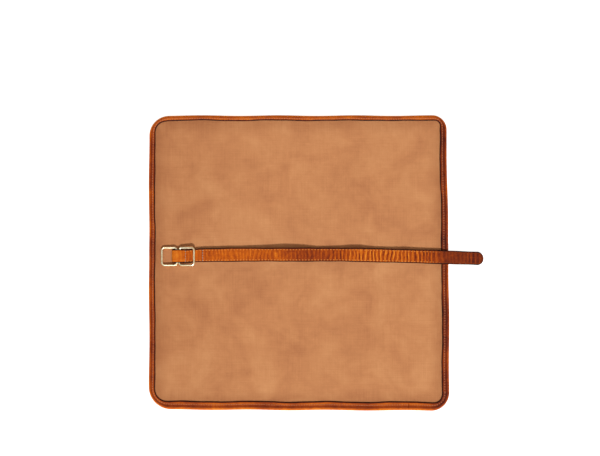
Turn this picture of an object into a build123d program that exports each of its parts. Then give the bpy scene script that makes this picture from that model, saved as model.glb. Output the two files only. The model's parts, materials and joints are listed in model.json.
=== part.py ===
"""Brush roll case, laid open with its outer face up: a canvas panel bound in leather, brush pockets
underneath, and a leather strap with two brass rings that closes the rolled case.

The cloth is one sheet on the real object. Here it is divided along the pocket seams into twelve strips,
because the case bends along those seams when it is rolled up.

Frame: +X runs along the strap towards its tip, +Y along the brushes towards the open end of the pockets,
+Z up through the outer face. The origin is under the middle of the whole case, on the table.
Units are millimetres.
"""

import os
from math import asin, cos, degrees, radians, sin

from build123d import *

# ---- driving dimensions -------------------------------------------------------------------------------
PANEL_WIDTH = 396.0  # along X, over the binding
PANEL_HEIGHT = 388.0  # along Y, over the binding
CORNER_RADIUS = 20.0
STRAP_OVERHANG = 44.0  # how far the strap's tip reaches past the panel's right edge

STRIP_COUNT = 12
FIRST_STRIP = 30.0  # the strip at the left edge
FOLD_ANGLE = 60.0  # each seam's bend in the closed roll, which is a six-sided spiral
LAYER_PITCH = 10.0  # from one turn of the closed roll to the next

CANVAS = 0.9
LINING = 0.7
POCKET_SHEET = 0.7
POCKET_DEPTH = 4.7  # the gap between the lining and the pocket's flat front
BINDING = 1.2  # thickness of the leather folded over the edge
BINDING_WIDTH = 10.8
EDGE_WALL = 1.4  # the leather's thickness round the very edge
SEAM_GAP = 0.3  # clearance between neighbouring strips
WINDOW_OVERRUN = 1.0  # the binding's inner window is cut this far past a strip's ends

POCKET_MARGIN = 2.2  # flat sewn border along each side of a pocket
POCKET_SLOPE = 4.2  # run of a pocket's sloping side
POCKET_BOTTOM_Y = -181.0
POCKET_MOUTH_Y = 52.0
FLANGE_END_Y = -183.0  # where the sewn lower border meets the binding

STRAP_WIDTH = 17.0
STRAP_THICKNESS = 2.6
STRAP_Y = 8.0  # the strap's centreline, a little above the panel's middle
STRAP_LIFT = 1.5  # thickness of the turned-under end, which carries the strap above the canvas
STRAP_SEGMENTS = (46.0, 45.0, 44.0, 70.0, 46.0, 52.0)  # between the strap's bends
FIRST_STRAP_BEND = 74.5  # from the panel's left edge
STRAP_TIP_RADIUS = 8.0

RING_WIRE = 3.0
RING_LENGTH = 19.7  # between the centrelines of a ring's inner and outer bars
RING_HEIGHT = 23.1  # between the centrelines of its side bars
RING_BEND = 3.5
LEFT_BAR_X = 36.8  # inner bars, from the panel's left edge
RIGHT_BAR_X = 40.1
RING_CLEARANCE = 0.3

LOOP_NOSE_X = 30.5  # where the strap turns back round the rings' bars
LOOP_LEATHER = 1.5
LOOP_SLOT = 3.4
LOOP_TOP_END_X = 44.5
LOOP_STEP_END_X = 49.5
LOOP_SLOT_END_X = 41.0
TURNED_END_X = 71.3

# ---- worked out from them -----------------------------------------------------------------------------
LEFT = -(PANEL_WIDTH + STRAP_OVERHANG) / 2
RIGHT = LEFT + PANEL_WIDTH
TIP = RIGHT + STRAP_OVERHANG
HALF_HEIGHT = PANEL_HEIGHT / 2

Z_LINING = POCKET_SHEET + POCKET_DEPTH
Z_CANVAS = Z_LINING + LINING
Z_TOP = Z_CANVAS + CANVAS
Z_MARGIN = Z_LINING - POCKET_SHEET
Z_FOLD = Z_LINING - BINDING  # the seams bend about the binding's lower face
Z_BINDING_TOP = Z_TOP + BINDING
Z_STRAP = Z_TOP + STRAP_LIFT
Z_STRAP_TOP = Z_STRAP + STRAP_THICKNESS


def seam_positions():
    """X of each strip's two borders. Each strip is narrower than the last by what the spiral needs."""
    step = LAYER_PITCH / (6 * sin(radians(FOLD_ANGLE)))
    rest = STRIP_COUNT - 1
    widest = (PANEL_WIDTH - FIRST_STRIP + step * rest * (rest - 1) / 2) / rest
    seams = [LEFT, LEFT + FIRST_STRIP]
    for number in range(rest):
        seams.append(seams[-1] + widest - step * number)
    return seams


def strap_bends():
    """X of each bend of the strap, from its sewn end to its tip."""
    bends = [LEFT + FIRST_STRAP_BEND]
    for length in STRAP_SEGMENTS:
        bends.append(bends[-1] + length)
    return bends


SEAMS = seam_positions()
BENDS = strap_bends()


def strip_span(number):
    """Left and right faces of a strip, clear of its neighbours."""
    left = SEAMS[number - 1] + (SEAM_GAP / 2 if number > 1 else 0)
    right = SEAMS[number] - (SEAM_GAP / 2 if number < STRIP_COUNT else 0)
    return left, right


def strip_outline(number, inset):
    """A strip's flat outline inside the current sketch, inset from the panel's outer edge, with the
    panel's own corners rounded."""
    left, right = strip_span(number)
    left += inset if number == 1 else 0
    right -= inset if number == STRIP_COUNT else 0
    with Locations(((left + right) / 2, 0)):
        outline = Rectangle(right - left, PANEL_HEIGHT - 2 * inset)
    corners = outline.vertices().sort_by(Axis.X)
    if number == 1:
        fillet(corners[:2], CORNER_RADIUS - inset)
    if number == STRIP_COUNT:
        fillet(corners[-2:], CORNER_RADIUS - inset)


def save(part, label):
    part.label = label
    export_step(part, f"parts/{label}.step")


# ---- the panel's layers, strip by strip ---------------------------------------------------------------
def make_canvas(number):
    with BuildPart() as canvas:
        with BuildSketch(Plane.XY.offset(Z_CANVAS)):
            strip_outline(number, EDGE_WALL)
        extrude(amount=CANVAS)
    save(canvas.part, f"canvas_{number:02d}")


def make_lining(number):
    with BuildPart() as lining:
        with BuildSketch(Plane.XY.offset(Z_LINING)):
            strip_outline(number, EDGE_WALL)
        extrude(amount=LINING)
    save(lining.part, f"lining_{number:02d}")


def make_binding(number):
    """Leather folded over the edge: an upper ply, a lower ply and the fold between them."""
    left, right = strip_span(number)
    window_left = LEFT + BINDING_WIDTH if number == 1 else left - WINDOW_OVERRUN
    window_right = RIGHT - BINDING_WIDTH if number == STRIP_COUNT else right + WINDOW_OVERRUN
    window_corner = CORNER_RADIUS - BINDING_WIDTH
    with BuildPart() as binding:
        with BuildSketch(Plane.XY.offset(Z_FOLD)):
            strip_outline(number, 0)
            with BuildSketch(mode=Mode.PRIVATE) as window:
                with Locations(((window_left + window_right) / 2, 0)):
                    opening = Rectangle(window_right - window_left, PANEL_HEIGHT - 2 * BINDING_WIDTH)
                corners = opening.vertices().sort_by(Axis.X)
                if number == 1:
                    fillet(corners[:2], window_corner)
                if number == STRIP_COUNT:
                    fillet(corners[-2:], window_corner)
            add(window.sketch, mode=Mode.SUBTRACT)
        extrude(amount=Z_BINDING_TOP - Z_FOLD)
        with BuildSketch(Plane.XY.offset(Z_LINING)):
            strip_outline(number, EDGE_WALL)
        extrude(amount=Z_TOP - Z_LINING, mode=Mode.SUBTRACT)
    save(binding.part, f"binding_{number:02d}")


def pocket_length(section, start_y, end_y):
    """A length of the pocket's cloth along the brushes, with the (x, z) corners of its section."""
    with BuildPart() as length:
        with BuildSketch(Plane.XZ.offset(-end_y)):
            with BuildLine():
                Polyline(*section, close=True)
            make_face()
        extrude(amount=end_y - start_y)
    return length.part


def make_pocket(number):
    """One pocket of the pocket sheet: two sewn borders with sloping sides, a flat front on the table and a
    closed lower end. They are separate solids that meet at the creases, so the space for a brush is open."""
    left, right = strip_span(number)
    foot_left = left + POCKET_MARGIN
    foot_right = right - POCKET_MARGIN
    front_left = foot_left + POCKET_SLOPE
    front_right = foot_right - POCKET_SLOPE
    crease = POCKET_SHEET / 2
    left_side = [
        (left, Z_LINING),
        (left, Z_MARGIN),
        (foot_left, Z_MARGIN),
        (front_left, 0),
        (front_left + crease, POCKET_SHEET),
        (foot_left + crease, Z_LINING),
    ]
    right_side = [(left + right - x, z) for x, z in left_side]
    front = [
        (front_left, 0),
        (front_right, 0),
        (front_right - crease, POCKET_SHEET),
        (front_left + crease, POCKET_SHEET),
    ]
    hollow = [
        (foot_left + crease, Z_LINING),
        (front_left + crease, POCKET_SHEET),
        (front_right - crease, POCKET_SHEET),
        (foot_right - crease, Z_LINING),
    ]
    lower_border = [(left, Z_LINING), (left, Z_MARGIN), (right, Z_MARGIN), (right, Z_LINING)]
    with BuildPart() as closed_end:
        add(pocket_length(hollow, POCKET_BOTTOM_Y, POCKET_BOTTOM_Y + POCKET_SHEET))
        add(pocket_length(lower_border, FLANGE_END_Y, POCKET_BOTTOM_Y))
    sections = (left_side, front, right_side)
    lengths = [pocket_length(section, POCKET_BOTTOM_Y, POCKET_MOUTH_Y) for section in sections]
    save(Compound(children=[*lengths, closed_end.part]), f"pocket_{number:02d}")


# ---- the strap ----------------------------------------------------------------------------------------
STRAP_PLANE = Plane.XZ.offset(-STRAP_Y)


def make_strap_root():
    """The sewn end: the strap runs over both rings' bars, turns back at the nose and is sewn down."""
    nose_radius = LOOP_LEATHER + LOOP_SLOT / 2
    nose_x = LEFT + LOOP_NOSE_X + nose_radius
    bar_z = Z_TOP + nose_radius
    loop_top = bar_z + nose_radius
    end_x = BENDS[0] - SEAM_GAP / 2
    slot_end_x = LEFT + LOOP_SLOT_END_X
    with BuildPart() as root:
        with BuildSketch(STRAP_PLANE):
            with BuildLine():
                Polyline(
                    (nose_x, loop_top),
                    (LEFT + LOOP_TOP_END_X, loop_top),
                    (LEFT + LOOP_STEP_END_X, Z_STRAP_TOP),
                    (end_x, Z_STRAP_TOP),
                    (end_x, Z_STRAP),
                    (LEFT + TURNED_END_X, Z_STRAP),
                    (LEFT + TURNED_END_X, Z_TOP),
                    (nose_x, Z_TOP),
                )
                ThreePointArc((nose_x, Z_TOP), (nose_x - nose_radius, bar_z), (nose_x, loop_top))
            make_face()
            with Locations(((nose_x + slot_end_x) / 2, bar_z)):
                SlotCenterToCenter(slot_end_x - nose_x, LOOP_SLOT, mode=Mode.SUBTRACT)
        extrude(amount=STRAP_WIDTH / 2, both=True)
    save(root.part, "strap_root")


def make_strap_segment(number):
    """A straight length of strap between two bends. The last one has the rounded tip."""
    is_tip = number == len(BENDS)
    start = BENDS[number - 1] + SEAM_GAP / 2
    end = TIP if is_tip else BENDS[number] - SEAM_GAP / 2
    with BuildPart() as segment:
        with BuildSketch(Plane.XY.offset(Z_STRAP)):
            with Locations(((start + end) / 2, STRAP_Y)):
                face = Rectangle(end - start, STRAP_WIDTH)
            if is_tip:
                fillet(face.vertices().sort_by(Axis.X)[-2:], STRAP_TIP_RADIUS)
        extrude(amount=STRAP_THICKNESS)
    save(segment.part, "strap_tip" if is_tip else f"strap_{number}")


# ---- the rings ----------------------------------------------------------------------------------------
def make_ring(name, bar_x, side, outer_bar_z):
    """A rounded rectangle of round wire. side is -1 where the ring lies towards the left edge, or 1.
    Its inner bar is held in the loop, and its outer bar rests lower or higher than that."""
    bar_z = Z_TOP + LOOP_LEATHER + LOOP_SLOT / 2
    tilt = asin((outer_bar_z - bar_z) / RING_LENGTH)
    ring_plane = Plane(
        origin=(LEFT + bar_x, STRAP_Y, bar_z),
        x_dir=(side * cos(tilt), 0, sin(tilt)),
        z_dir=(-side * sin(tilt), 0, cos(tilt)),
    )
    with BuildSketch(ring_plane) as outline:
        with Locations((RING_LENGTH / 2, 0)):
            RectangleRounded(RING_LENGTH, RING_HEIGHT, RING_BEND)
    path = outline.sketch.wires()[0]
    with BuildPart() as ring:
        with BuildSketch(Plane(origin=path @ 0, z_dir=path % 0)):
            Circle(RING_WIRE / 2)
        sweep(path=path)
    save(ring.part, name)
    print(f"{name}: tilt {degrees(tilt):.3f} degrees, axis at x {LEFT + bar_x:.2f}, z {bar_z:.2f}")


os.makedirs("parts", exist_ok=True)
for strip in range(1, STRIP_COUNT + 1):
    make_canvas(strip)
    make_lining(strip)
    make_binding(strip)
    if 1 < strip < STRIP_COUNT:
        make_pocket(strip)

make_strap_root()
for segment_number in range(1, len(BENDS) + 1):
    make_strap_segment(segment_number)

RESTING_RADIUS = RING_WIRE / 2 + RING_CLEARANCE
make_ring("ring_left", LEFT_BAR_X, -1, Z_TOP + RESTING_RADIUS)
make_ring("ring_right", RIGHT_BAR_X, 1, Z_STRAP_TOP + RESTING_RADIUS)
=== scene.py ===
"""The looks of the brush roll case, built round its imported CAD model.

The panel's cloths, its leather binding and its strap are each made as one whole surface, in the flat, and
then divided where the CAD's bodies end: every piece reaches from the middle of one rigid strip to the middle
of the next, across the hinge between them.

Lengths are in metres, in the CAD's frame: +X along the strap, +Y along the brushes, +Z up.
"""

import json
import math
import random

import bmesh
import bpy
import numpy as np
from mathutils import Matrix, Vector, noise


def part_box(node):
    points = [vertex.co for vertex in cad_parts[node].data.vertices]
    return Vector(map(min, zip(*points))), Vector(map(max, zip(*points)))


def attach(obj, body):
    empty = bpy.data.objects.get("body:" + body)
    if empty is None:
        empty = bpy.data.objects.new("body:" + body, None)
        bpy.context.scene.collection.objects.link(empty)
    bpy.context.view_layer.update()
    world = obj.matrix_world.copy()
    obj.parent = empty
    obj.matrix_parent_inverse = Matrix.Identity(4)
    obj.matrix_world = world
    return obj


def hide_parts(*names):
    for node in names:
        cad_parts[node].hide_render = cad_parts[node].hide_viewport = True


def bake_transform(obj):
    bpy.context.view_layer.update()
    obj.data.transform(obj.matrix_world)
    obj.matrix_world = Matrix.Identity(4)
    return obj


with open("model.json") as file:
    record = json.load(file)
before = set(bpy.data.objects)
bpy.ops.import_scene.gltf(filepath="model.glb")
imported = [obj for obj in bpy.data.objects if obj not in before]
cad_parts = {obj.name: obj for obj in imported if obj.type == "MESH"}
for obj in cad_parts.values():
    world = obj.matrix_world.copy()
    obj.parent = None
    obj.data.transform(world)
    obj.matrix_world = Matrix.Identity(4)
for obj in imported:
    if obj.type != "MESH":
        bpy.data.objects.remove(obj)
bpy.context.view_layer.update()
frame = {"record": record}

MM = 0.001
STRIPS = 12

# ---- places that come from the CAD -----------------------------------------------------------------------
joints = {joint["name"]: joint for joint in frame["record"]["behaviour"]["joints"]}


def joint_x(name):
    return joints[name]["pos_m"][0]


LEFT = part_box("binding_01")[0][0]
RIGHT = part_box("binding_12")[1][0]
HALF_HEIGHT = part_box("binding_01")[1][1]
FOLD_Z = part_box("binding_01")[0][2]
BINDING_TOP_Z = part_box("binding_01")[1][2]
CANVAS_Z, TOP_Z = (corner[2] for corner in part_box("canvas_02"))
LINING_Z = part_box("lining_02")[0][2]
POCKET_BOTTOM_Y, POCKET_MOUTH_Y = (corner[1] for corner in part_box("pocket_02"))
STRAP_Z, STRAP_TOP_Z = (corner[2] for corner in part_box("strap_1"))
STRAP_LOW_Y, STRAP_HIGH_Y = (corner[1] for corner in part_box("strap_root"))
STRAP_Y = (STRAP_LOW_Y + STRAP_HIGH_Y) / 2
LOOP_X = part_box("strap_root")[0][0]
LOOP_TOP_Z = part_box("strap_root")[1][2]
TIP_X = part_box("strap_tip")[1][0]

SEAMS = [LEFT, joint_x("fold_01"), joint_x("roll_up")]
SEAMS += [joint_x(f"fold_{number:02d}") for number in range(3, STRIPS)]
SEAMS += [RIGHT]
STRAP_BENDS = [joint_x(f"strap_bend_{number}") for number in range(1, 8)]

# ---- how the real one lies: small departures from the CAD's straight lines ---------------------------------
RIGHT_LEAN = (-0.6 * MM, -2.1 * MM, -0.9 * MM)  # the right edge bows and slants in towards the top
BOTTOM_SAG = 1.7 * MM  # the lower edge bulges out by this much
BOTTOM_RISE = 1.5 * MM  # and less towards its left end
EDGE_WAVE = 0.42 * MM
CLOTH_SWELL = 0.45 * MM
CALM_REACH = 26 * MM  # the cloth lies flat this close to the strap
CORNER_RADII = {"right_top": 19 * MM, "left_top": 27 * MM, "left_low": 30 * MM, "right_low": 25 * MM}
CORNER_PINCH = 1.7 * MM  # the binding is drawn narrower where it turns a corner


def smooth(value, start, end):
    """0 before start, 1 after end, and a smooth step between them."""
    t = np.clip((value - start) / (end - start), 0, 1)
    return t * t * (3 - 2 * t)


def swell(x, y):
    """How far the cloth rises off its plane. Never negative, so nothing sinks into the table."""
    wave = np.sin(x * 61 + 3 * np.sin(y * 17) + 0.6) * np.sin(y * 43 + 2 * np.sin(x * 13 + 1.1))
    wave = wave + 0.6 * np.sin(x * 27 - y * 36 + 2.1) + 0.35 * np.sin(x * 118 + y * 71 + 0.4)
    calm = 1 - np.exp(-(((y - STRAP_Y) / CALM_REACH) ** 2))
    return CLOTH_SWELL * (1.1 + wave / 1.8) * calm


def settle(points):
    """Moves flat points of the panel to where the real, slightly uneven panel has them."""
    x, y, z = points[:, 0], points[:, 1], points[:, 2]
    along = (x - LEFT) / (RIGHT - LEFT)
    up = y / HALF_HEIGHT
    calm = 1 - np.exp(-(((y - STRAP_Y) / CALM_REACH) ** 2))
    lean, slant, bow = RIGHT_LEAN
    shift_x = along**3 * (lean + slant * up + bow * up**2)
    shift_x = shift_x + EDGE_WAVE * calm * np.sin(y * 47 + 5 * along) * (0.4 + 0.6 * np.abs(2 * along - 1))
    shift_y = (BOTTOM_RISE * (1 - along) - BOTTOM_SAG) * np.clip(-up, 0, 1) ** 2
    shift_y = shift_y + EDGE_WAVE * np.sin(x * 62 + 2 * up + 2.6) * up**2
    return np.column_stack((x + shift_x, y + shift_y, z + swell(x, y)))


# ---- meshes ------------------------------------------------------------------------------------------------
def lattice(rows, columns, ring=False):
    """Quads of a grid of points numbered row by row. ring joins each row's last point to its first."""
    row, column = np.meshgrid(np.arange(rows - 1), np.arange(columns if ring else columns - 1), indexing="ij")
    here = row * columns + column
    right = row * columns + (column + 1) % columns
    return np.stack((here, right, right + columns, here + columns), axis=-1).reshape(-1, 4)


def vertex_normals(points, faces):
    corners = points[faces]
    facing = np.cross(corners[:, 2] - corners[:, 0], corners[:, 3] - corners[:, 1])
    normals = np.zeros_like(points)
    for corner in range(4):
        np.add.at(normals, faces[:, corner], facing)
    return normals / np.maximum(np.linalg.norm(normals, axis=1, keepdims=True), 1e-12)


def make_piece(name, points, faces, normals, uv, tone, material, slot):
    """A mesh object with its open ends capped. tone is a value at each point that the material reads."""
    mesh = bpy.data.meshes.new(name)
    mesh.from_pydata(points.tolist(), [], faces.tolist())
    shape = bmesh.new()
    shape.from_mesh(mesh)
    open_edges = [edge for edge in shape.edges if edge.is_boundary]
    bmesh.ops.holes_fill(shape, edges=open_edges, sides=0)
    shape.to_mesh(mesh)
    shape.free()
    mesh.update()
    mesh.shade_smooth()
    corner_vertex = np.empty(len(mesh.loops), int)
    mesh.loops.foreach_get("vertex_index", corner_vertex)
    corner_normals = normals[corner_vertex]
    for polygon in mesh.polygons[len(faces):]:
        corner_normals[list(polygon.loop_indices)] = polygon.normal
    mesh.normals_split_custom_set(corner_normals.tolist())
    layer = mesh.uv_layers.new(name="flat")
    layer.data.foreach_set("uv", uv[corner_vertex].ravel())
    values = mesh.attributes.new("tone", "FLOAT", "POINT")
    values.data.foreach_set("value", tone)
    mesh.materials.append(material)
    piece = bpy.data.objects.new(name, mesh)
    bpy.context.scene.collection.objects.link(piece)
    return piece


def divide(name, flat_x, points, faces, cuts, uv, tone, material, slot):
    """Divides one surface at the cuts into pieces that meet without a visible line. Returns (number, piece)
    pairs, numbered from 1, for each stretch that holds any of the surface."""
    normals = vertex_normals(points, faces)
    middle = flat_x[faces].mean(axis=1)
    pieces = []
    for number in range(1, len(cuts)):
        low = -math.inf if number == 1 else cuts[number - 1]
        high = math.inf if number == len(cuts) - 1 else cuts[number]
        chosen = faces[(middle > low) & (middle < high)]
        if not len(chosen):
            continue
        used, renumbered = np.unique(chosen, return_inverse=True)
        values = (points[used], renumbered.reshape(-1, 4), normals[used], uv[used], tone[used])
        piece = make_piece(f"{name}_{number:02d}", *values, material, slot)
        pieces.append((number, piece))
    return pieces


# Panel pieces reach from the middle of one strip to the middle of the next, and the outer two to the edges.
STRIP_MIDDLES = [(start + end) / 2 for start, end in zip(SEAMS, SEAMS[1:])]
PANEL_CUTS = [LEFT] + STRIP_MIDDLES[1:-1] + [RIGHT]


def bend_with_panel(piece, number):
    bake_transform(piece)


def stand_for_strips(number, kind):
    """The piece replaces its strip's CAD node, and the last one also replaces the last strip's."""
    numbers = [number, STRIPS] if number == STRIPS - 1 else [number]
    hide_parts(*[f"{kind}_{strip:02d}" for strip in numbers])


STRAP_CUTS = [LOOP_X] + [(start + end) / 2 for start, end in zip(STRAP_BENDS, STRAP_BENDS[1:])] + [TIP_X]


def bend_with_strap(piece, number):
    """Bakes the piece's placement into its mesh; nothing bends it. Number 1 crosses the strap's first bend,
    between its sewn end and its first free length."""
    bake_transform(piece)


# ---- materials ---------------------------------------------------------------------------------------------
class Nodes:
    """A short way to write a material's node tree."""

    def __init__(self, name):
        self.material = bpy.data.materials.new(name)
        self.material.use_nodes = True
        self.tree = self.material.node_tree
        self.shader = self.tree.nodes["Principled BSDF"]

    def add(self, kind, inputs=None, **settings):
        node = self.tree.nodes.new(kind)
        for key, value in settings.items():
            setattr(node, key, value)
        for key, value in (inputs or {}).items():
            self.join(value, node.inputs[key])
        return node

    def join(self, value, socket):
        if isinstance(value, bpy.types.NodeSocket):
            self.tree.links.new(value, socket)
        elif socket.type == "RGBA":
            socket.default_value = (*value[:3], 1)
        else:
            socket.default_value = value

    def math(self, operation, *values, clamp=False):
        inputs = dict(enumerate(values))
        return self.add("ShaderNodeMath", inputs, operation=operation, use_clamp=clamp).outputs[0]

    def flat(self, stretch=(1, 1, 1)):
        """Coordinates in millimetres on the flat cloth or leather."""
        place = self.add("ShaderNodeUVMap", uv_map="flat").outputs[0]
        scaled = self.add("ShaderNodeVectorMath", {0: place, 1: stretch}, operation="MULTIPLY")
        return scaled.outputs[0]

    def tone(self):
        return self.add("ShaderNodeAttribute", attribute_name="tone").outputs["Fac"]

    def noise(self, where, scale, detail=3.0, roughness=0.55, distortion=0.0):
        inputs = {"Vector": where, "Scale": scale, "Detail": detail}
        inputs.update({"Roughness": roughness, "Distortion": distortion})
        return self.add("ShaderNodeTexNoise", inputs).outputs[0]

    def ramp(self, value, stops):
        node = self.add("ShaderNodeValToRGB", {0: value})
        elements = node.color_ramp.elements
        while len(elements) < len(stops):
            elements.new(0.5)
        for element, (position, color) in zip(elements, stops):
            element.position = position
            element.color = (*color, 1)
        return node.outputs[0]

    def blend(self, factor, first, second, kind="MIX"):
        node = self.add("ShaderNodeMix", data_type="RGBA", blend_type=kind)
        self.join(factor, node.inputs[0])
        self.join(first, node.inputs[6])
        self.join(second, node.inputs[7])
        return node.outputs[2]

    def bump(self, height, distance, strength=1.0, under=None):
        inputs = {"Height": height, "Distance": distance, "Strength": strength}
        if under is not None:
            inputs["Normal"] = under
        return self.add("ShaderNodeBump", inputs).outputs[0]

    def set(self, **values):
        for key, value in values.items():
            self.join(value, self.shader.inputs[key.replace("_", " ")])
        return self.material


def woven(name, pitch, light, middle, dark, edge_tint, thread_depth):
    """Plain-weave cloth: crossing threads, uneven yarn, and soft clouds of colour. tone darkens it."""
    n = Nodes(name)
    place = n.flat()
    axes = n.add("ShaderNodeSeparateXYZ", {0: place}).outputs
    wander = n.noise(place, 0.35, 2.0)
    waves = []
    for axis in (axes[0], axes[1]):
        drift = n.math("MULTIPLY_ADD", wander, 1.6, axis)
        waves.append(n.math("SINE", n.math("MULTIPLY", drift, math.pi / pitch)))
    over = n.math("MULTIPLY_ADD", n.math("MULTIPLY", waves[0], waves[1]), 0.5, 0.5)
    warp = n.math("MULTIPLY", n.math("ABSOLUTE", waves[0]), over)
    weft = n.math("MULTIPLY", n.math("ABSOLUTE", waves[1]), n.math("SUBTRACT", 1.0, over))
    weave = n.math("ADD", warp, weft)
    slub_across = n.noise(n.flat((0.025, 1.1, 1)), 1.0, 3.0)
    slub_along = n.noise(n.flat((1.1, 0.025, 1)), 1.0, 3.0)
    slub = n.math("ADD", slub_across, slub_along)
    clouds = n.noise(place, 0.017, 4.0, 0.55, 0.6)
    patches = n.noise(place, 0.065, 3.0, 0.6)
    fibre = n.noise(place, 1.9, 3.0, 0.7)
    value = n.math("MULTIPLY_ADD", clouds, 0.86, n.math("MULTIPLY", patches, 0.34))
    value = n.math("MULTIPLY_ADD", slub, 0.30, value)
    value = n.math("MULTIPLY_ADD", fibre, 0.16, value)
    value = n.math("SUBTRACT", value, 0.48)
    color = n.ramp(value, [(0.22, dark), (0.50, middle), (0.78, light)])
    threads = n.math("MULTIPLY_ADD", weave, 0.16, 0.90)
    threads = n.add("ShaderNodeCombineColor", {0: threads, 1: threads, 2: threads}).outputs[0]
    color = n.blend(1.0, color, threads, "MULTIPLY")
    color = n.blend(n.tone(), color, edge_tint, "MULTIPLY")
    bumps = n.bump(weave, thread_depth)
    bumps = n.bump(slub, 0.00016, 0.6, bumps)
    return n.set(
        Base_Color=color,
        Roughness=n.math("MULTIPLY_ADD", fibre, 0.2, 0.72),
        Normal=bumps,
        Sheen_Weight=0.12,
        Sheen_Roughness=0.5,
        Specular_IOR_Level=0.22,
    )


def leather(name):
    """Oiled pull-up leather. tone runs from 0, dark and burnished, to 1, pulled to bright orange. Where the
    binding and the strap are built, tone also carries painted highlights and painted shade.
    """
    n = Nodes(name)
    place = n.flat()
    clouds = n.noise(place, 0.11, 4.0, 0.6, 0.8)
    mottle = n.noise(place, 0.62, 4.0, 0.65)
    value = n.math("MULTIPLY_ADD", clouds, 0.42, n.tone())
    value = n.math("MULTIPLY_ADD", mottle, 0.34, value)
    value = n.math("SUBTRACT", value, 0.38, clamp=True)
    stops = [
        (0.0, (0.014, 0.003, 0.003)),
        (0.22, (0.130, 0.015, 0.004)),
        (0.45, (0.330, 0.050, 0.004)),
        (0.66, (0.590, 0.118, 0.004)),
        (1.0, (0.930, 0.310, 0.024)),
    ]
    color = n.ramp(value, stops)
    cells = n.add("ShaderNodeTexVoronoi", {"Vector": place, "Scale": 1.15, "Randomness": 1.0})
    cells.feature = "DISTANCE_TO_EDGE"
    grain = n.math("MINIMUM", n.math("MULTIPLY", cells.outputs[0], 3.2), 1.0)
    creases = n.noise(n.flat((0.30, 0.06, 1)), 1.0, 5.0, 0.7, 1.6)
    pores = n.noise(place, 3.4, 2.0)
    bumps = n.bump(grain, 0.00010, 0.7)
    bumps = n.bump(creases, 0.0005, 0.5, bumps)
    bumps = n.bump(pores, 0.00006, 0.5, bumps)
    crack = n.math("MULTIPLY_ADD", grain, 0.16, 0.84)
    crack = n.add("ShaderNodeCombineColor", {0: crack, 1: crack, 2: crack}).outputs[0]
    color = n.blend(1.0, color, crack, "MULTIPLY")
    return n.set(
        Base_Color=color,
        Roughness=n.math("MULTIPLY_ADD", mottle, 0.25, 0.42),
        Normal=bumps,
        Specular_IOR_Level=0.09,
    )


def thread(name, light, dark):
    """Waxed thread: two plies twisted together, which show as slanting turns. tone darkens it."""
    n = Nodes(name)
    place = n.flat()
    axes = n.add("ShaderNodeSeparateXYZ", {0: place}).outputs
    turns = n.math("MULTIPLY_ADD", axes[1], 0.8, axes[0])
    turns = n.math("SINE", n.math("MULTIPLY", turns, 2 * math.pi / 0.75))
    turns = n.math("MULTIPLY_ADD", turns, 0.5, 0.5)
    fuzz = n.noise(place, 5.0, 3.0)
    value = n.math("MULTIPLY_ADD", turns, 0.55, n.math("MULTIPLY", fuzz, 0.5))
    color = n.ramp(value, [(0.1, dark), (0.9, light)])
    color = n.blend(n.tone(), color, (0.30, 0.16, 0.12), "MULTIPLY")
    return n.set(
        Base_Color=color,
        Roughness=0.55,
        Normal=n.bump(turns, 0.00012, 0.8),
        Specular_IOR_Level=0.10,
    )


def brass():
    """Polished pale brass, with fine scratches along the wire and a little dulling in patches."""
    n = Nodes("brass")
    scratches = n.noise(n.flat((0.5, 9.0, 1)), 1.0, 4.0, 0.7)
    dull = n.noise(n.flat(), 0.3, 3.0)
    color = n.ramp(dull, [(0.25, (0.92, 0.78, 0.44)), (0.6, (1.0, 0.93, 0.68))])
    roughness = n.math("MULTIPLY_ADD", scratches, 0.12, n.math("MULTIPLY", dull, 0.12))
    return n.set(
        Base_Color=color,
        Metallic=1.0,
        Roughness=n.math("ADD", roughness, 0.22),
        Normal=n.bump(scratches, 0.00002, 0.5),
    )


CANVAS = woven(
    "canvas",
    pitch=0.62,
    light=(0.690, 0.325, 0.138),
    middle=(0.592, 0.252, 0.101),
    dark=(0.470, 0.180, 0.072),
    edge_tint=(0.62, 0.52, 0.46),
    thread_depth=0.00022,
)
LINING = woven(
    "lining",
    pitch=0.40,
    light=(0.500, 0.330, 0.190),
    middle=(0.430, 0.270, 0.150),
    dark=(0.350, 0.205, 0.110),
    edge_tint=(0.55, 0.47, 0.40),
    thread_depth=0.00012,
)
POCKET_CLOTH = woven(
    "pocket_cloth",
    pitch=0.50,
    light=(0.600, 0.300, 0.140),
    middle=(0.520, 0.235, 0.104),
    dark=(0.420, 0.172, 0.072),
    edge_tint=(0.50, 0.42, 0.36),
    thread_depth=0.00016,
)
LEATHER = leather("leather")
THREAD = thread("thread", (0.70, 0.30, 0.150), (0.34, 0.110, 0.055))
PALE_THREAD = thread("pale_thread", (0.92, 0.38, 0.08), (0.55, 0.15, 0.025))
GREY_THREAD = thread("grey_thread", (0.52, 0.38, 0.31), (0.28, 0.17, 0.13))
BRASS = brass()


# ---- the panel's outline -----------------------------------------------------------------------------------
def corner_radius(x, y):
    side = "right" if x > (LEFT + RIGHT) / 2 else "left"
    return CORNER_RADII[f"{side}_{'top' if y > 0 else 'low'}"]


def edge_y(x, inset, upper):
    """Y of the panel's inset outline at x, on its upper or lower side."""
    sign = 1 if upper else -1
    radius = corner_radius(x, sign)
    from_end = min(x - LEFT, RIGHT - x)
    reach = radius - inset
    drop = 0.0
    if from_end < radius:
        across = min(radius - from_end, reach)
        drop = reach - math.sqrt(max(reach * reach - across * across, 0))
    return sign * (HALF_HEIGHT - inset - drop)


def columns_between(start, end, step, also=()):
    """Evenly spaced X values that also pass exactly through the cuts between the panel's pieces."""
    marks = sorted({start, end, *[x for x in also if start < x < end]})
    columns = []
    for low, high in zip(marks, marks[1:]):
        count = max(2, round((high - low) / step) + 1)
        columns += list(np.linspace(low, high, count)[:-1])
    return np.array(columns + [end])


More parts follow.
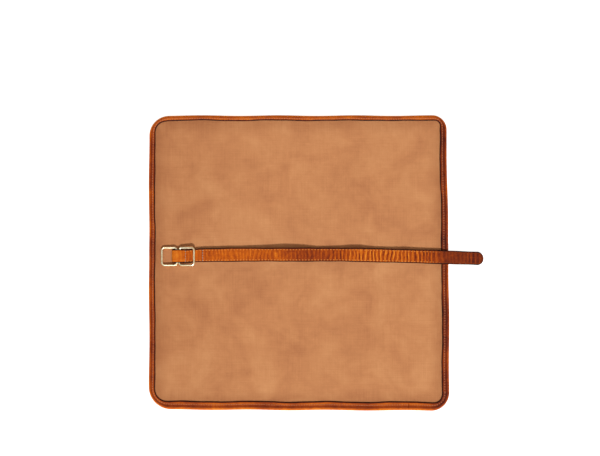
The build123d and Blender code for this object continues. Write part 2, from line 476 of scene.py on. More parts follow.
EDGE_SHADE = 0.46  # how much the cloths darken near the binding
LEFT_SHADE = 0.24  # and towards the panel's left side


def slab(name, low_z, high_z, inset, material, slot, kind, step=3 * MM, rows=150):
    """A cloth layer of the whole panel, in pieces."""
    start, end = LEFT + inset, RIGHT - inset
    columns = columns_between(start, end, step, PANEL_CUTS + SEAMS)
    rounding = [LEFT + inset + radius * MM for radius in (0.4, 1.5, 3.2, 5.5, 8.5, 12)]
    columns = np.array(sorted({*columns, *rounding, *[LEFT + RIGHT - x for x in rounding]}))
    points = []
    for x in columns:
        heights = np.linspace(edge_y(x, inset, False), edge_y(x, inset, True), rows)
        upper = [(x, y, high_z) for y in heights]
        lower = [(x, y, low_z) for y in heights[::-1]]
        points += upper + lower
    flat = np.array(points)
    faces = lattice(len(columns), rows * 2, ring=True)[:, ::-1]
    uv = flat[:, :2] / MM
    nearest = np.minimum.reduce(
        [flat[:, 0] - LEFT, RIGHT - flat[:, 0], HALF_HEIGHT - np.abs(flat[:, 1])]
    )
    tone = EDGE_SHADE * (1 - smooth(nearest, 6 * MM, 30 * MM))
    tone = tone + LEFT_SHADE * (1 - smooth(flat[:, 0] - LEFT, 20 * MM, 170 * MM))
    outer = divide(name, flat[:, 0], settle(flat), faces, PANEL_CUTS, uv, tone, material, slot)
    for number, piece in outer:
        stand_for_strips(number, kind)
        bend_with_panel(piece, number)


CLOTH_GAP = 0.06 * MM
EDGE_INSET = 2.4 * MM
slab("outer_canvas", CANVAS_Z + CLOTH_GAP, TOP_Z, EDGE_INSET, CANVAS, "canvas", "canvas")
slab("inner_lining", LINING_Z + CLOTH_GAP, CANVAS_Z - CLOTH_GAP, EDGE_INSET, LINING, "lining", "lining")


# ---- the leather binding -----------------------------------------------------------------------------------
BINDING_WIDTHS = {"right": 9.7 * MM, "top": 7.0 * MM, "left": 8.4 * MM, "low": 11.4 * MM}
# Each side's leather tone: partly the leather's own uneven colour, partly painted light, with a side painted
# lighter or darker by how the light falls on it.
BINDING_TONES_AND_LIGHT = {"right": 0.32, "top": 0.72, "left": 0.48, "low": 0.55}
BINDING_PLY = 1.2 * MM
STITCH_LINE = 0.62  # where the stitches run, as a share of the binding's width from the edge
LAP_HEIGHT = 0.55 * MM
LAP_RUN = 26  # millimetres over which the lapped end sinks to its neighbour's height
JOIN_X = LEFT + 342 * MM  # where the binding's two ends overlap, in its lower edge


def perimeter():
    """Stations round the panel's outline, anticlockwise from the middle of its right side: a point, the
    inward direction, and how much of each side it belongs to. The outline passes exactly through the cuts."""
    stations = []

    def straight(start, end, inward, side):
        start, end = np.array(start), np.array(end)
        axis = 0 if abs(end[0] - start[0]) > abs(end[1] - start[1]) else 1
        low, high = sorted((start[axis], end[axis]))
        marks = []
        if axis == 0:
            marks = PANEL_CUTS + SEAMS
        if side == "low":
            marks = marks + [JOIN_X + offset * MM for offset in (-1.2, -0.6, -0.25, 0.25, 0.6)]
        values = columns_between(low, high, 2.4 * MM, marks)
        if start[axis] > end[axis]:
            values = values[::-1]
        for value in values:
            point = np.array(start, float)
            point[axis] = value
            stations.append((point, np.array(inward, float), {side: 1.0}))

    def corner(centre, radius, first_angle, before, after):
        for number in range(1, 16):
            turn = number / 16
            angle = math.radians(first_angle + 90 * turn)
            outward = np.array((math.cos(angle), math.sin(angle)))
            share = float(smooth(turn, 0, 1))
            place = np.array(centre) + radius * outward
            stations.append((place, -outward, {before: 1 - share, after: share}))

    right_top, left_top = CORNER_RADII["right_top"], CORNER_RADII["left_top"]
    left_low, right_low = CORNER_RADII["left_low"], CORNER_RADII["right_low"]
    top, low = HALF_HEIGHT, -HALF_HEIGHT
    straight((RIGHT, low + right_low), (RIGHT, top - right_top), (-1, 0), "right")
    corner((RIGHT - right_top, top - right_top), right_top, 0, "right", "top")
    straight((RIGHT - right_top, top), (LEFT + left_top, top), (0, -1), "top")
    corner((LEFT + left_top, top - left_top), left_top, 90, "top", "left")
    straight((LEFT, top - left_top), (LEFT, low + left_low), (1, 0), "left")
    corner((LEFT + left_low, low + left_low), left_low, 180, "left", "low")
    straight((LEFT + left_low, low), (RIGHT - right_low, low), (0, 1), "low")
    corner((RIGHT - right_low, low + right_low), right_low, 270, "low", "right")
    return stations


def mixed(values, shares):
    return sum(values[side] * share for side, share in shares.items())


def corner_turn(shares):
    """0 along a side, 1 in the middle of a corner."""
    return 4 * math.prod(shares.values()) if len(shares) > 1 else 0.0


def binding_profile(width, lift, side_tone):
    """The folded leather's closed section as (distance from the edge, height, tone) rows."""
    stitch = STITCH_LINE * width
    rim = width - 0.35 * MM
    middle_z = (FOLD_Z + BINDING_TOP_Z) / 2
    half = (BINDING_TOP_Z - FOLD_Z) / 2
    # The outer fold is lighter: partly the pull-up leather stretched over the fold, partly a painted
    # highlight on the rounded fold.
    bright = min(side_tone + 0.24, 0.86)
    outer = [
        # Near black at the inner edge: partly the burnished raw edge, partly painted shadow along the step
        # down to the cloth.
        (width, half - BINDING_PLY + 0.05 * MM, 0.04),
        (width + 0.05 * MM, half - 0.55 * MM, 0.02),
        (rim, half - 0.1 * MM, 0.02),
        (width - 1.1 * MM, half + lift, 0.04),
        (width - 1.9 * MM, half + 0.02 * MM + lift, side_tone * 0.95),
        # Painted shade darkens the stitch groove, and the row just inside it is a little lighter.
        (stitch + 0.75 * MM, half - 0.02 * MM + lift, side_tone * 1.1),
        (stitch, half - 0.30 * MM + lift, side_tone * 0.8),
        (stitch - 0.75 * MM, half + 0.02 * MM + lift, side_tone * 0.95),
        (0.42 * width, half + 0.22 * MM + lift, side_tone * 0.62),
        (0.30 * width, half + 0.28 * MM + lift, side_tone * 0.72),
        (0.20 * width, half + 0.16 * MM + lift, bright - 0.14),
        (1.15 * MM, half - 0.22 * MM + lift, bright - 0.02),
        (0.45 * MM, half - 0.85 * MM, bright),
        (0.08 * MM, half - 1.5 * MM, bright - 0.04),
    ]
    lower = [(across, -height, value) for across, height, value in outer[::-1]]
    inner_half = half - BINDING_PLY
    cavity = [
        (2.4 * MM, -inner_half, 0.2),
        (1.7 * MM, -0.5 * inner_half, 0.2),
        (1.7 * MM, 0.5 * inner_half, 0.2),
        (2.4 * MM, inner_half, 0.2),
    ]
    section = outer + [(0.0, 0.0, bright - 0.08)] + lower + cavity
    return [(across, middle_z + height, value) for across, height, value in section]


def join_step(x, shares):
    """Height added where the binding's end laps over its start."""
    if shares.get("low", 0) < 1:
        return 0.0
    past = (x - JOIN_X) / MM
    return LAP_HEIGHT * math.exp(-past / LAP_RUN) if past > 0 else -0.10 * MM * math.exp(past / 1.5)


def build_binding():
    stations = perimeter()
    stations.append(stations[0])
    points, uv, tone = [], [], []
    travelled = 0.0
    previous = stations[0][0]
    for point, inward, shares in stations:
        travelled += float(np.linalg.norm(point - previous))
        previous = point
        width = mixed(BINDING_WIDTHS, shares)
        width += 0.25 * MM * math.sin(travelled * 71) + 0.15 * MM * math.sin(travelled * 163 + 1)
        width -= CORNER_PINCH * corner_turn(shares)
        lift = 0.10 * MM * math.sin(travelled * 97) + join_step(point[0], shares)
        side_tone = mixed(BINDING_TONES_AND_LIGHT, shares) + 0.06 * math.sin(travelled * 53)
        side_tone += 0.05 * math.sin(travelled * 141 + 2) - 0.12 * corner_turn(shares) * (point[0] > 0)
        crease = -0.3 if abs(lift) > 0.5 * MM and abs(point[0] - JOIN_X) < 0.5 * MM else 0.0
        for across, height, value in binding_profile(width, lift, side_tone + crease):
            place = point + inward * across
            points.append((place[0], place[1], height))
            uv.append((travelled / MM, across / MM * (1 if height > CANVAS_Z else -1)))
            tone.append(value)
    flat = np.array(points)
    faces = lattice(len(stations), len(points) // len(stations), ring=True)[:, ::-1]
    uv, tone = np.array(uv), np.clip(tone, 0, 1)
    points = settle(flat)
    pieces = divide("leather_binding", flat[:, 0], points, faces, PANEL_CUTS, uv, tone, LEATHER, "leather")
    for number, piece in pieces:
        stand_for_strips(number, "binding")
        bend_with_panel(piece, number)


build_binding()


# ---- stitches ----------------------------------------------------------------------------------------------
def stitch_shape():
    """One stitch along X, a unit long and a unit thick, that dips at both ends."""
    rings, sides = 7, 6
    rows = []
    for ring in range(rings):
        along = -0.5 + ring / (rings - 1)
        fullness = math.sqrt(max(1 - (2 * along) ** 4, 0.02))
        dip = -0.55 * (2 * along) ** 4
        for side in range(sides):
            angle = 2 * math.pi * side / sides
            rows.append((along, 0.5 * fullness * math.cos(angle), dip + 0.5 * fullness * math.sin(angle)))
    return np.array(rows), lattice(rings, sides, ring=True)


STITCH_POINTS, STITCH_FACES = stitch_shape()


def no_wear(x):
    return np.zeros(len(x))


def sew(name, stitches, cuts, bend, width=0.8 * MM, settled=True, material=THREAD, wear=no_wear):
    """Makes stitches, given as (place, direction, up, length) rows, and shares them out among the pieces
    between the cuts, each whole in the piece where its middle lies. wear darkens them, by their X. Nothing
    reaches below the table."""
    for number in range(1, len(cuts)):
        low = -math.inf if number == 1 else cuts[number - 1]
        high = math.inf if number == len(cuts) - 1 else cuts[number]
        chosen = [stitch for stitch in stitches if low < stitch[0][0] <= high]
        if not chosen:
            continue
        points, faces, uv = [], [], []
        for place, direction, up, length in chosen:
            along = np.array(direction, float)
            along = along / np.linalg.norm(along)
            above = np.array(up, float)
            side = np.cross(above, along)
            local = STITCH_POINTS * (length, width, width)
            faces.append(STITCH_FACES + len(points) * len(STITCH_POINTS))
            middle = np.array([place])
            if settled:
                middle = settle(middle)
            points.append(middle + local @ np.array((along, side, above)))
            uv.append(local[:, :2] / MM + random.uniform(0, 50))
        points, faces, uv = np.concatenate(points), np.concatenate(faces), np.concatenate(uv)
        points[:, 2] = np.maximum(points[:, 2], 0)
        normals = vertex_normals(points, faces)
        tone = wear(points[:, 0])
        piece = make_piece(f"{name}_{number:02d}", points, faces, normals, uv, tone, material, "thread")
        bend(piece, number)


random.seed(7)


def binding_stitches():
    """A row of stitches round the panel, on the outer face and on the inner one."""
    stations = perimeter()
    pitch, length = 3.3 * MM, 2.5 * MM
    rows = {True: [], False: []}
    walked = 0.0
    spine = []
    for point, inward, shares in stations + stations[:1]:
        width = mixed(BINDING_WIDTHS, shares) - CORNER_PINCH * corner_turn(shares)
        spine.append(point + inward * STITCH_LINE * width)
    for start, end in zip(spine, spine[1:]):
        span = float(np.linalg.norm(end - start))
        if span < 1e-9:
            continue
        direction = (end - start) / span
        while walked < span:
            place = start + direction * walked
            lean = random.uniform(-0.05, 0.05)
            heading = (direction[0] - lean * direction[1], direction[1] + lean * direction[0], 0)
            for outer in (True, False):
                height = BINDING_TOP_Z - 0.12 * MM if outer else FOLD_Z + 0.12 * MM
                up = (0, 0, 1 if outer else -1)
                rows[outer].append(((place[0], place[1], height), heading, up, length))
            walked += pitch
        walked -= span
    sew("binding_stitches_outer", rows[True], PANEL_CUTS, bend_with_panel, 0.95 * MM)
    sew("binding_stitches_inner", rows[False], PANEL_CUTS, bend_with_panel)


binding_stitches()


# ---- the pocket sheet --------------------------------------------------------------------------------------
POCKET_SHEET = 0.7 * MM
POCKET_MARGIN = 2.2 * MM
POCKET_CLOSE = 13 * MM  # how quickly a pocket narrows to nothing at its lower end
HEM_DEPTH = 11 * MM
HEM_EXTRA = 0.55 * MM


def pocket_drop(x, y):
    """How far the pocket sheet hangs below its sewn borders."""
    for start, end in zip(SEAMS[1:], SEAMS[2:-1]):
        if start <= x <= end:
            half = (end - start) / 2 - POCKET_MARGIN
            across = min(abs(x - (start + end) / 2) / half, 1.0)
            ends = float(smooth(y, POCKET_BOTTOM_Y + 2 * MM, POCKET_BOTTOM_Y + POCKET_CLOSE))
            ripple = 1 - 0.07 * (1 + math.sin(y * 55 + x * 240)) * (1 - across)
            return (1 - across**3.2) ** 0.8 * ends * ripple
    return 0.0


def build_pockets():
    start, end = SEAMS[1], SEAMS[-2]
    depth = LINING_Z - POCKET_SHEET
    hem_y = POCKET_MOUTH_Y - HEM_DEPTH
    columns = []
    for low, high in zip(SEAMS[1:], SEAMS[2:-1]):
        middle = (low + high) / 2
        for turn in np.linspace(0, math.pi, 23)[:-1]:
            columns.append(middle - (high - low) / 2 * math.cos(turn))
    columns = np.array(columns + [end])
    rows = np.concatenate(
        (
            POCKET_BOTTOM_Y + np.array((0, 1, 2, 3.5, 5, 7, 9, 11, 13)) * MM,
            np.linspace(POCKET_BOTTOM_Y + 17 * MM, hem_y - 0.9 * MM, 56),
            hem_y + np.array((-0.5, 0.0, 0.6)) * MM,
            np.linspace(hem_y + 3 * MM, POCKET_MOUTH_Y - 0.3 * MM, 4),
            [POCKET_MOUTH_Y],
        )
    )
    points = []
    for x in columns:
        outer, inner = [], []
        for y in rows:
            drop = depth * pocket_drop(x, y)
            hem = HEM_EXTRA * float(smooth(y, hem_y - 0.6 * MM, hem_y))
            rounding = 0.3 * MM if y > POCKET_MOUTH_Y - 0.1 * MM else 0.0
            low_z = max(LINING_Z - POCKET_SHEET - drop, rounding)
            outer.append((x, y, low_z + rounding))
            inner.append((x, y, min(low_z + POCKET_SHEET + hem, LINING_Z)))
        points += outer + inner[::-1]
    flat = np.array(points)
    faces = lattice(len(columns), len(rows) * 2, ring=True)
    uv = flat[:, :2] / MM
    seam_distance = np.min(np.abs(flat[:, :1] - np.array(SEAMS[1:-1])), axis=1)
    tone = 0.55 * (1 - smooth(seam_distance, 0.6 * MM, 4.5 * MM))
    hem_line = np.abs(flat[:, 1] - hem_y)
    tone = np.maximum(tone, 0.5 * (1 - smooth(hem_line, 0.3 * MM, 1.6 * MM)))
    points = settle(flat)
    pieces = divide(
        "pocket_sheet", flat[:, 0], points, faces, PANEL_CUTS, uv, tone, POCKET_CLOTH, "pocket_cloth"
    )
    for number, piece in pieces:
        strip = max(number, 2)
        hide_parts(f"pocket_{strip:02d}")
        bend_with_panel(piece, number)


build_pockets()


def pocket_stitches():
    """Seams between the pockets, a row round their lower ends, and a row along the mouths' hem."""
    stitches = []
    pitch, length = 3.4 * MM, 2.5 * MM
    under = LINING_Z - POCKET_SHEET - 0.05 * MM
    for seam in SEAMS[1:-1]:
        for y in np.arange(POCKET_BOTTOM_Y + 2 * MM, POCKET_MOUTH_Y - 1 * MM, pitch):
            stitches.append(((seam, y, under), (0, 1, 0), (0, 0, -1), length))
    for x in np.arange(SEAMS[1] + 2 * MM, SEAMS[-2], pitch):
        stitches.append(((x, POCKET_BOTTOM_Y + 1.2 * MM, under), (1, 0, 0), (0, 0, -1), length))
        y = POCKET_MOUTH_Y - HEM_DEPTH + 1.6 * MM
        z = LINING_Z - POCKET_SHEET - (LINING_Z - POCKET_SHEET) * pocket_drop(x, y) - 0.05 * MM
        slope = pocket_drop(x + 0.5 * MM, y) - pocket_drop(x - 0.5 * MM, y)
        rise = -(LINING_Z - POCKET_SHEET) * slope / MM
        tilt = math.atan(rise)
        direction = (math.cos(tilt), 0, math.sin(tilt))
        up = (math.sin(tilt), 0, -math.cos(tilt))
        stitches.append(((x, y, z), direction, up, length * min(1.0, 0.35 + math.cos(tilt))))
    sew("pocket_stitches", stitches, PANEL_CUTS, bend_with_panel)


pocket_stitches()


# ---- the strap ---------------------------------------------------------------------------------------------
STRAP_HALF = (STRAP_HIGH_Y - STRAP_LOW_Y) / 2
LOOP_LEATHER = 1.5 * MM
NOSE_RADIUS = (LOOP_TOP_Z - TOP_Z) / 2
NOSE_X = LOOP_X + NOSE_RADIUS
NOSE_Z = TOP_Z + NOSE_RADIUS
TURNED_END_X = LEFT + 71.3 * MM
STEP_START_X = LEFT + 44.5 * MM
STEP_END_X = LEFT + 50.5 * MM
CROSS_ROWS_X = (LEFT + 48.2 * MM, LEFT + 71.0 * MM)
CROSS_PITCH = 3.2 * MM
TIP_RADIUS = 8.0 * MM
STRAP_SPREAD = 0.5 * MM  # the worn strap stands this much wider than its cut on each side
STITCH_MARGIN = 1.8 * MM
TIP_END_X = TIP_X + 1.2 * MM
COARSE_PITCH, FINE_PITCH = 5.2, 2.9  # millimetres between the creases in the strap's grain
RIDGE_SHARPNESS = 1.7  # above 1, ridges are narrower than the grooves between them
RIDGE_HEIGHT = 0.14 * MM
RIDGE_TONE = 0.40
# The free strap's arches, in millimetres from the panel's left edge: start, end, height and lean.
ARCHES = ((76, 226, 3.3, 2.0), (222, 301, 2.4, 1.58), (300, 371, 1.0, 1.0))
FALL, FALL_START, FALL_RUN = 5.1, 250, 190  # millimetres: how far the strap slants away, and over what length
# Tone of the strap's dark edge. On the rim it is the dark edge paint; the band it spreads onto the top face
# is partly that paint and partly painted shadow along the strap's edges.
DARK_EDGE_AND_SHADE_TONE = -0.22  # dark enough to stay black where the leather's clouds are light


def strap_centre(x):
    """The strap's centreline runs straight past the middle, then falls away towards its tip."""
    along = (x - LEFT) / MM
    fall = FALL * np.clip((along - FALL_START) / FALL_RUN, 0, 1) ** 1.3
    return STRAP_Y + (0.4 + 1.1 * smooth(along, 46, 72) + 0.8 * smooth(along, 60, 130) - fall) * MM


def hump(along, start, end, height, skew):
    t = np.clip((along - start) / (end - start), 0, 1) ** skew
    return height * np.sin(math.pi * t) ** 2


def strap_lift(x):
    """The free strap stands off the cloth in three low arches."""
    along = (x - LEFT) / MM
    return sum(hump(along, *arch) for arch in ARCHES) * MM


def strap_half_width(x):
    past = np.clip((x - (TIP_END_X - TIP_RADIUS)) / TIP_RADIUS, 0, 1)
    edge = 0.16 * MM * np.sin((x - LEFT) * 70) + 0.10 * MM * np.sin((x - LEFT) * 190)
    fullness = STRAP_SPREAD * smooth((x - LEFT) / MM, 50, 75) + edge
    return STRAP_HALF - TIP_RADIUS * (1 - np.sqrt(np.maximum(1 - past**2, 0.0))) + fullness * (1 - past)


def crinkle(x, y):
    """Crosswise creases in the strap's grain, from -1 in a crease to 1 on a ridge."""
    along = (x - LEFT) / MM
    across = y / MM
    drift = 0.75 * noise.noise(Vector((along * 0.055, 0, 1)))
    drift = drift + 0.42 * noise.noise(Vector((along * 0.06, across * 0.10, 5)))
    coarse = 0.5 + 0.5 * math.cos(2 * math.pi * (along / COARSE_PITCH + drift))
    coarse = 2 * coarse**RIDGE_SHARPNESS - 1
    fine = math.cos(2 * math.pi * (along / FINE_PITCH - 1.5 * drift + 0.035 * across))
    break_up = 0.8 + 0.7 * noise.noise(Vector((along * 0.16, across * 0.14, 12)))
    return max(min((0.72 * coarse + 0.28 * fine) * break_up, 1.0), -1.0)


CRINKLE_ALONG = (
    (30, 0.15), (70, 0.30), (150, 0.35), (230, 0.35), (268, 0.75), (285, 1.0),
    (360, 1.0), (376, 0.6), (394, 0.15), (416, 0.2), (424, 0.5), (434, 0.4),
    (440, 0.1),
)
# Tone along the strap, by millimetres from the panel's left edge. The top value near 30 mm is a painted
# highlight on the loop's raised nose round the rings' bars.
TONE_ALONG = (
    (30, 0.76), (46, 0.66), (50, 0.58), (72, 0.60), (120, 0.64), (158, 0.58),
    (170, 0.62), (182, 0.50), (205, 0.41), (240, 0.48), (285, 0.66), (345, 0.61),
    (376, 0.46), (394, 0.33), (420, 0.33), (440, 0.28),
)


def along_strap(x, marks):
    """Reads a value along the strap from its (millimetres from the left, value) marks."""
    places, values = zip(*marks)
    return np.interp((x - LEFT) / MM, places, values)


def strap_path():
    """Stations of the leather from its turned-under end, round the rings' bars, to the tip:
    (x, z, direction, thickness)."""
    stations = []
    low_z = TOP_Z + LOOP_LEATHER / 2 + 0.02 * MM
    for x in np.arange(TURNED_END_X, NOSE_X, -1.2 * MM):
        stations.append((x, low_z, math.pi, LOOP_LEATHER))
    radius = NOSE_RADIUS - LOOP_LEATHER / 2
    for turn in np.linspace(0, math.pi, 15):
        x = NOSE_X - radius * math.sin(turn)
        stations.append((x, NOSE_Z - radius * math.cos(turn), math.pi - turn, LOOP_LEATHER))
    free = columns_between(NOSE_X + 0.8 * MM, TIP_END_X - 0.02 * MM, 0.75 * MM, STRAP_CUTS[:-1])
    ending = TIP_END_X - TIP_RADIUS * np.array((0.30, 0.2, 0.13, 0.08, 0.04, 0.015))
    free = np.array(sorted({*free, *ending}))
    level = (STRAP_Z + STRAP_TOP_Z) / 2
    loop_level = LOOP_TOP_Z - LOOP_LEATHER / 2
    step = smooth(free, STEP_START_X, STEP_END_X)
    heights = loop_level + (level - loop_level) * step + strap_lift(free)
    slopes = np.arctan(np.gradient(heights, free))
    thickness = LOOP_LEATHER + (STRAP_TOP_Z - STRAP_Z - LOOP_LEATHER) * step
    stations += list(zip(free, heights, slopes, thickness))
    return stations


def strap_section():
    """The strap's section as (across, side, sunk) rows. Across is a share of the half width, side runs from 1
    on the upper face to -1 on the lower one, and sunk is a depth in millimetres."""
    groove = 1 - STITCH_MARGIN / STRAP_HALF
    top = [0.955, 0.915, groove + 0.06, groove, groove - 0.07, 0.6, 0.42, 0.21, 0.0]
    sunk = {groove: 0.16}
    upper = [(across, 1.0, sunk.get(across, 0.0)) for across in top]
    upper += [(-across, 1.0, depth) for across, _, depth in upper[-2::-1]]
    rim = [(-0.988, 0.80, 0), (-1.0, 0.35, 0), (-0.982, 0.0, 0), (-1.0, -0.35, 0), (-0.988, -0.80, 0)]
    lower = [(across, -1.0, 0) for across in (-0.955, -0.6, -0.2, 0.2, 0.6, 0.955)]
    other_rim = [(-across, side, depth) for across, side, depth in rim[::-1]]
    return upper + rim + lower + other_rim


def build_strap():
    section = strap_section()
    points, flat_x, uv, tone = [], [], [], []
    travelled = 0.0
    previous = None
    for x, z, direction, thickness in strap_path():
        if previous is not None:
            travelled += math.hypot(x - previous[0], z - previous[1])
        previous = (x, z)
        half = float(strap_half_width(x)) if direction < math.pi / 2 else STRAP_HALF
        centre = float(strap_centre(x))
        strength = float(along_strap(x, CRINKLE_ALONG))
        base = float(along_strap(x, TONE_ALONG))
        rise = (-math.sin(direction), math.cos(direction))
        for across, side, depth in section:
            y = half * across
            height = side * thickness / 2 - depth * MM
            value = base if side > 0 else base * 0.8
            if side == 1.0:
                ridge = float(crinkle(x, y)) * strength * (1 - 0.6 * abs(across) ** 3)
                height += RIDGE_HEIGHT * ridge + 0.10 * MM * (1 - across * across)
                # The top face's outer band darkens to the edge tone: partly edge paint, partly painted shadow
                # along the strap's edges.
                rim = float(smooth(abs(across), 0.885, 0.915))
                value = (base + RIDGE_TONE * ridge) * (1 - rim) + DARK_EDGE_AND_SHADE_TONE * rim
            if abs(side) < 1:
                value = DARK_EDGE_AND_SHADE_TONE
            points.append((x + rise[0] * height, centre + y, z + rise[1] * height))
            flat_x.append(x)
            uv.append((travelled / MM, y / MM + (30 if side < 0 else 0)))
            tone.append(value)
    faces = lattice(len(points) // len(section), len(section), ring=True)
    flat_x, points, uv = np.array(flat_x), np.array(points), np.array(uv)
    tone = np.clip(tone, DARK_EDGE_AND_SHADE_TONE, 1)
    pieces = divide("leather_strap", flat_x, points, faces, STRAP_CUTS, uv, tone, LEATHER, "leather")
    nodes = ["strap_root"] + [f"strap_{number}" for number in range(1, 7)] + ["strap_tip"]
    for number, piece in pieces:
        mine = nodes[number - 1 : number] if number < 7 else nodes[6:]
        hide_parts(*mine)
        bend_with_strap(piece, number)


build_strap()


def strap_stitches():
    """Two rows along the strap, joined round its tip, and two rows across its sewn end."""
    pitch, length = 4.1 * MM, 2.7 * MM
    face = (STRAP_TOP_Z - STRAP_Z) / 2
    middle = (STRAP_Z + STRAP_TOP_Z) / 2
    stitches = []

    def surface(x):
        return middle + float(strap_lift(x)) + face - 0.10 * MM

    tip_start = TIP_END_X - TIP_RADIUS
    for side in (-1, 1):
        for x in np.arange(CROSS_ROWS_X[0] + 3 * MM, tip_start, pitch):
            ahead, behind = x + 1 * MM, x - 1 * MM
            slope = (surface(ahead) - surface(behind)) / (2 * MM)
            y = float(strap_centre(x)) + side * (STRAP_HALF - STITCH_MARGIN)
            drift = float(strap_centre(ahead) - strap_centre(behind)) / (2 * MM)
            up = np.array((-slope, 0, 1)) / math.hypot(slope, 1)
            stitches.append(((x, y, surface(x)), (1, drift, slope), up, length))
    radius = TIP_RADIUS - STITCH_MARGIN
    for degrees in np.arange(-78, 79, 26):
        angle = math.radians(degrees)
        x = tip_start + radius * math.cos(angle)
        y = float(strap_centre(x)) + (STRAP_HALF - TIP_RADIUS + radius) * math.sin(angle)
        stitches.append(((x, y, surface(x)), (-math.sin(angle), math.cos(angle), 0), (0, 0, 1), length * 0.9))
    cross = []
    for x in CROSS_ROWS_X:
        step = float(smooth(x, STEP_START_X, STEP_END_X))
        z = surface(x) + (1 - step) * (LOOP_TOP_Z - STRAP_TOP_Z)
        lean = math.atan(-(1 - step) * 1.1)
        for y in np.arange(-2, 3) * CROSS_PITCH:
            up = (-math.sin(lean), 0, math.cos(lean))
            cross.append(((x, float(strap_centre(x)) + y, z + 0.10 * MM), (0, 1, 0), up, length))

    def tip_wear(x):
        return smooth((x - LEFT) / MM, 366, 392)

    sew("strap_stitches", stitches, STRAP_CUTS, bend_with_strap, 1.15 * MM, False, PALE_THREAD, tip_wear)
    sew("strap_cross_stitches", cross, STRAP_CUTS, bend_with_strap, 1.4 * MM, False, GREY_THREAD)


strap_stitches()


# ---- the rings ---------------------------------------------------------------------------------------------
RING_BEND = 3.5 * MM


def build_ring(name, side):
    """A rounded rectangle of round brass wire, brazed shut in the middle of its inner bar."""
    low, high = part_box(name)
    pivot = joints[f"{name}_swing"]["pos_m"]
    outer_x = low[0] if side < 0 else high[0]
    height_span = high[1] - low[1]
    inner_z = pivot[2]
    wire = abs(low[2] - inner_z) if side > 0 else abs(high[2] - inner_z)
    outer_z = high[2] - wire if side > 0 else low[2] + wire
    reach = abs(outer_x - pivot[0]) - wire
    tilt = math.atan2(outer_z - inner_z, reach)
    length = math.hypot(reach, outer_z - inner_z)
    half_height = height_span / 2 - wire
    corners = [
        ((length - RING_BEND, half_height - RING_BEND), 0),
        ((RING_BEND, half_height - RING_BEND), 90),
        ((RING_BEND, RING_BEND - half_height), 180),
        ((length - RING_BEND, RING_BEND - half_height), 270),
    ]
    outline = []
    for (across, up), first in corners:
        for number in range(13):
            angle = math.radians(first + 90 * number / 12)
            outline.append((across + RING_BEND * math.cos(angle), up + RING_BEND * math.sin(angle)))
    spine = []
    for start, end in zip(outline, outline[1:] + outline[:1]):
        span = math.hypot(end[0] - start[0], end[1] - start[1])
        count = max(1, round(span / (1.2 * MM)))
        for number in range(count):
            t = number / count
            spine.append((start[0] + (end[0] - start[0]) * t, start[1] + (end[1] - start[1]) * t))
    spine = np.array(spine)
    ahead, behind = np.roll(spine, -1, axis=0), np.roll(spine, 1, axis=0)
    heading = ahead - behind
    heading /= np.linalg.norm(heading, axis=1, keepdims=True)
    across_axis = np.array((side * math.cos(tilt), 0, math.sin(tilt)))
    up_axis = np.array((0, 1, 0))
    normal = np.cross(across_axis, up_axis) * side
    sides = 20
    points, uv = [], []
    travelled = 0.0
    for number, (place, direction) in enumerate(zip(spine, heading)):
        outward = np.array((direction[1], -direction[0]))
        travelled += float(np.linalg.norm(place - spine[number - 1])) if number else 0.0
        centre = np.array(pivot) + across_axis * place[0] + up_axis * place[1]
        outward_3d = across_axis * outward[0] + up_axis * outward[1]
        for turn in range(sides):
            angle = 2 * math.pi * turn / sides
            points.append(centre + wire * (math.cos(angle) * outward_3d + math.sin(angle) * normal))
            uv.append((travelled / MM, wire * angle / MM))
    points = np.array(points)
    stations = len(spine)
    faces = lattice(stations, sides, ring=True)
    last = (stations - 1) * sides
    turn = np.arange(sides)
    after = (turn + 1) % sides
    closing = np.stack((last + turn, last + after, after, turn), axis=-1)
    faces = np.concatenate((faces, closing))
    if side > 0:
        faces = faces[:, ::-1]
    normals = vertex_normals(points, faces)
    centres = points.reshape(stations, sides, 3).mean(axis=1).repeat(sides, axis=0)
    if float(np.sum(normals * (points - centres))) < 0:
        faces = faces[:, ::-1]
        normals = -normals
    tone = np.zeros(len(points))
    piece = make_piece(f"{name}_wire", points, faces, normals, np.array(uv), tone, BRASS, "brass")
    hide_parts(name)
    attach(piece, name)


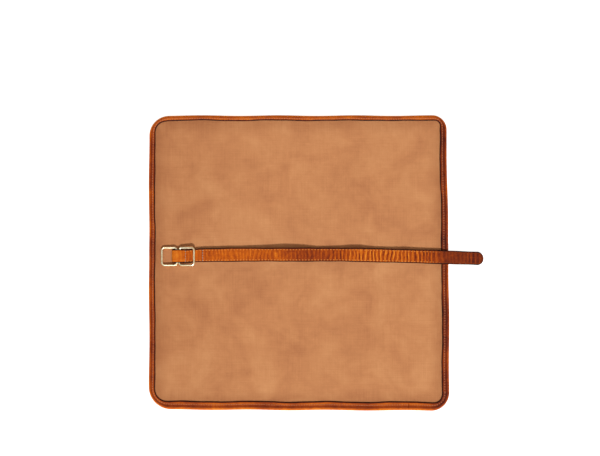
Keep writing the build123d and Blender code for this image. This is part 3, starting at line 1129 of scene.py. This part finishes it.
build_ring("ring_left", -1)
build_ring("ring_right", 1)


# ---- floor, light and camera -------------------------------------------------------------------------------
def build_stage():
    n = Nodes("floor")
    floor_material = n.set(Base_Color=(0.5, 0.5, 0.5), Roughness=0.9, Specular_IOR_Level=0.0)
    n.set(Emission_Color=(1, 1, 1), Emission_Strength=0.95)
    mesh = bpy.data.meshes.new("floor")
    reach = 6.0
    corners = [(-reach, -reach, 0), (reach, -reach, 0), (reach, reach, 0), (-reach, reach, 0)]
    mesh.from_pydata(corners, [], [(0, 1, 2, 3)])
    mesh.materials.append(floor_material)
    floor = bpy.data.objects.new("floor", mesh)
    bpy.context.scene.collection.objects.link(floor)


def build_light():
    world = bpy.data.worlds.new("studio")
    bpy.context.scene.world = world
    world.use_nodes = True
    background = world.node_tree.nodes["Background"]
    background.inputs[0].default_value = (1.0, 0.77, 0.60, 1)
    background.inputs[1].default_value = 0.24
    key = bpy.data.lights.new("key", "SUN")
    key.energy = 2.90
    key.angle = math.radians(9)
    key.color = (0.98, 1.0, 1.0)
    lamp = bpy.data.objects.new("key", key)
    lamp.rotation_euler = (math.radians(40), 0, math.radians(8))
    bpy.context.scene.collection.objects.link(lamp)
    overhead = bpy.data.lights.new("overhead", "AREA")
    overhead.size = 3.2
    overhead.energy = 44
    soft_box = bpy.data.objects.new("overhead", overhead)
    soft_box.location = (0, -0.6, 4.5)
    bpy.context.scene.collection.objects.link(soft_box)


def build_camera():
    """Straight down, a little above the panel's middle, so that the case sits low in the frame."""
    width_seen = 0.792
    distance = 3.0
    aim_x, aim_y = LEFT + 199.3 * MM, 45.5 * MM
    camera = bpy.data.cameras.new("camera")
    camera.sensor_width = 36
    camera.lens = camera.sensor_width * distance / width_seen
    camera.clip_end = 30
    eye = bpy.data.objects.new("camera", camera)
    eye.location = (aim_x, aim_y, distance + TOP_Z)
    bpy.context.scene.collection.objects.link(eye)
    bpy.context.scene.camera = eye


build_stage()
build_light()
build_camera()
bpy.context.scene.view_settings.view_transform = "Standard"
